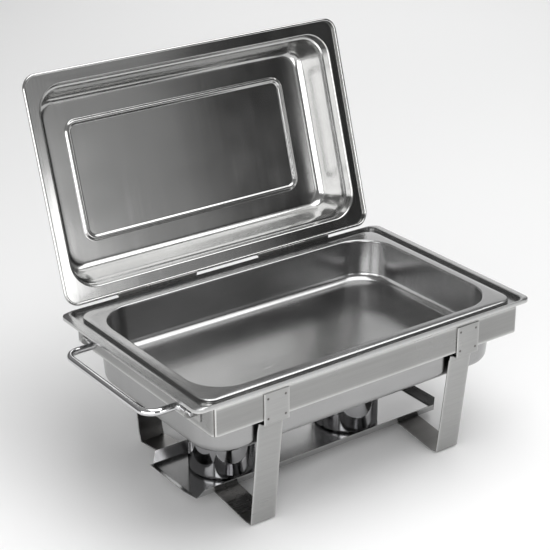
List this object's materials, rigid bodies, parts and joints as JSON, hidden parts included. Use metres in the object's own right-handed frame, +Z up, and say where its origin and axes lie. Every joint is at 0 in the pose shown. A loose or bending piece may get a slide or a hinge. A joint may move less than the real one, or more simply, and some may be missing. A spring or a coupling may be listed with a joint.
{
  "type": "chafing dish",
  "caption": "Rectangular stainless chafing dish: strap-leg stand with burner tray, water pan, food pan, end handles and a lid that stands open in rear holders.",
  "frame": {"origin": "on the table, under the middle of the stand", "axes": "+X along the long side, towards the right-hand end seen from the serving side; -Y towards the serving side; +Z up"},
  "size_m": [0.645, 0.5033, 0.5446],
  "materials": {
    "stand_steel": "fine satin grain along the sheet",
    "tray_steel": "bright rolled sheet, lightly smudged",
    "pan_steel": "satin drawn sheet",
    "lid_steel": "bright satin pressed sheet",
    "handle_chrome": "polished bright",
    "burner_steel": "polished spun sheet"
  },
  "bodies": {
    "stand": {"frame_band": "stand_steel", "leg_strap_left": "stand_steel", "leg_strap_right": "stand_steel", "lid_holder_left": "stand_steel", "lid_holder_right": "stand_steel", "handle_bracket_left_front": "stand_steel", "handle_bracket_left_rear": "stand_steel", "handle_bracket_right_front": "stand_steel", "handle_bracket_right_rear": "stand_steel", "fuel_tray": "tray_steel"},
    "water_pan": {"water_pan": "pan_steel"},
    "food_pan": {"food_pan": "pan_steel"},
    "lid": {"lid_shell": "lid_steel", "lid_handle_plate_left": "lid_steel", "lid_handle_plate_right": "lid_steel", "lid_handle": "handle_chrome"},
    "handle_left": {"handle_left": "handle_chrome"},
    "handle_right": {"handle_right": "handle_chrome"},
    "burner_left": {"burner_cup_left": "burner_steel", "burner_collar_left": "burner_steel", "snuffer_rivet_left": "burner_steel"},
    "snuffer_left": {"snuffer_left": "burner_steel"},
    "burner_right": {"burner_cup_right": "burner_steel", "burner_collar_right": "burner_steel", "snuffer_rivet_right": "burner_steel"},
    "snuffer_right": {"snuffer_right": "burner_steel"}
  },
  "joints": [
    {"name": "lid_turn", "type": "hinge", "parent": "stand", "child": "lid", "pos_m": [0, 0.1798, 0.2292], "axis": [-1, 0, 0], "range_deg": [-106.9, 0]},
    {"name": "water_pan_lift", "type": "slide", "parent": "stand", "child": "water_pan", "axis": [0, 0, 1], "range_m": [0, 0.12]},
    {"name": "food_pan_lift", "type": "slide", "parent": "water_pan", "child": "food_pan", "axis": [0, 0, 1], "range_m": [0, 0.1]},
    {"name": "handle_left_fold", "type": "hinge", "parent": "stand", "child": "handle_left", "pos_m": [-0.2705, 0, 0.198], "axis": [0, -1, 0], "range_deg": [0, 88]},
    {"name": "handle_right_fold", "type": "hinge", "parent": "stand", "child": "handle_right", "pos_m": [0.2705, 0, 0.198], "axis": [0, 1, 0], "range_deg": [0, 88]},
    {"name": "burner_left_slide", "type": "slide", "parent": "stand", "child": "burner_left", "axis": [1, 0, 0], "range_m": [-0.02, 0.07]},
    {"name": "burner_right_slide", "type": "slide", "parent": "stand", "child": "burner_right", "axis": [1, 0, 0], "range_m": [-0.035, 0.06]},
    {"name": "snuffer_left_swing", "type": "hinge", "parent": "burner_left", "child": "snuffer_left", "pos_m": [-0.135, 0.038, 0.0766], "axis": [0, 0, 1], "range_deg": [0, 130]},
    {"name": "snuffer_right_swing", "type": "hinge", "parent": "burner_right", "child": "snuffer_right", "pos_m": [0.09, 0.038, 0.0766], "axis": [0, 0, 1], "range_deg": [0, 130]}
  ]
}
